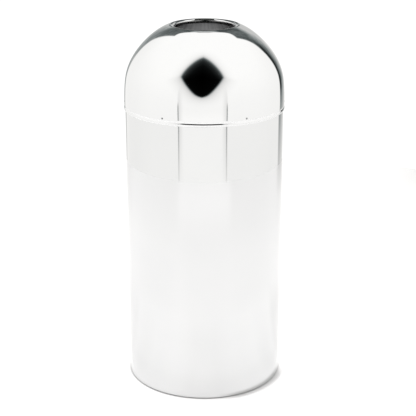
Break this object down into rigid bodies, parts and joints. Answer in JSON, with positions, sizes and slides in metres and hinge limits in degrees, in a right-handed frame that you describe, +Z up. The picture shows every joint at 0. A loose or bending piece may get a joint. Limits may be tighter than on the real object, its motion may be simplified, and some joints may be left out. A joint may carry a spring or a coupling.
{
  "type": "dome-top waste bin",
  "caption": "Free-standing round waste bin: polished cylinder body, lift-off open-mouth dome top and a lift-out liner with a bail handle.",
  "frame": {"origin": "centre of the foot ring's underside, on the floor, on the bin's axis", "axes": "+Z up along the bin's axis, -Y is the front, the bail's hinge line runs along X"},
  "size_m": [0.3882, 0.3864, 0.8869],
  "materials": {
    "polished_stainless": "mirror polished",
    "mill_stainless": "dull mill finish",
    "galvanised_steel": "zinc coated, faint spangle",
    "zinc_wire": "zinc plated wire",
    "black_rubber": "matte"
  },
  "bodies": {
    "body": {"body_shell": "polished_stainless", "base_plate": "mill_stainless", "foot_ring": "black_rubber"},
    "liner": {"liner_bucket": "galvanised_steel", "liner_bottom": "galvanised_steel", "liner_rim_wire": "zinc_wire", "liner_ear_left": "galvanised_steel", "liner_ear_right": "galvanised_steel", "ear_rivet_1": "galvanised_steel", "ear_rivet_2": "galvanised_steel", "ear_rivet_3": "galvanised_steel", "ear_rivet_4": "galvanised_steel"},
    "dome": {"dome_shell": "polished_stainless", "locating_band": "mill_stainless", "band_rivet_1": "mill_stainless", "band_rivet_2": "mill_stainless", "band_rivet_3": "mill_stainless", "band_rivet_4": "mill_stainless", "band_rivet_5": "mill_stainless", "band_rivet_6": "mill_stainless"},
    "bail": {"bail_handle": "zinc_wire"}
  },
  "joints": [
    {"name": "liner_lift", "type": "slide", "parent": "body", "child": "liner", "axis": [0, 0, 1], "range_m": [0, 0.68]},
    {"name": "dome_lift", "type": "slide", "parent": "liner", "child": "dome", "axis": [0, 0, 1], "range_m": [0, 0.3]},
    {"name": "bail_swing", "type": "hinge", "parent": "liner", "child": "bail", "pos_m": [0, 0, 0.641], "axis": [1, 0, 0], "range_deg": [0, 210]}
  ]
}
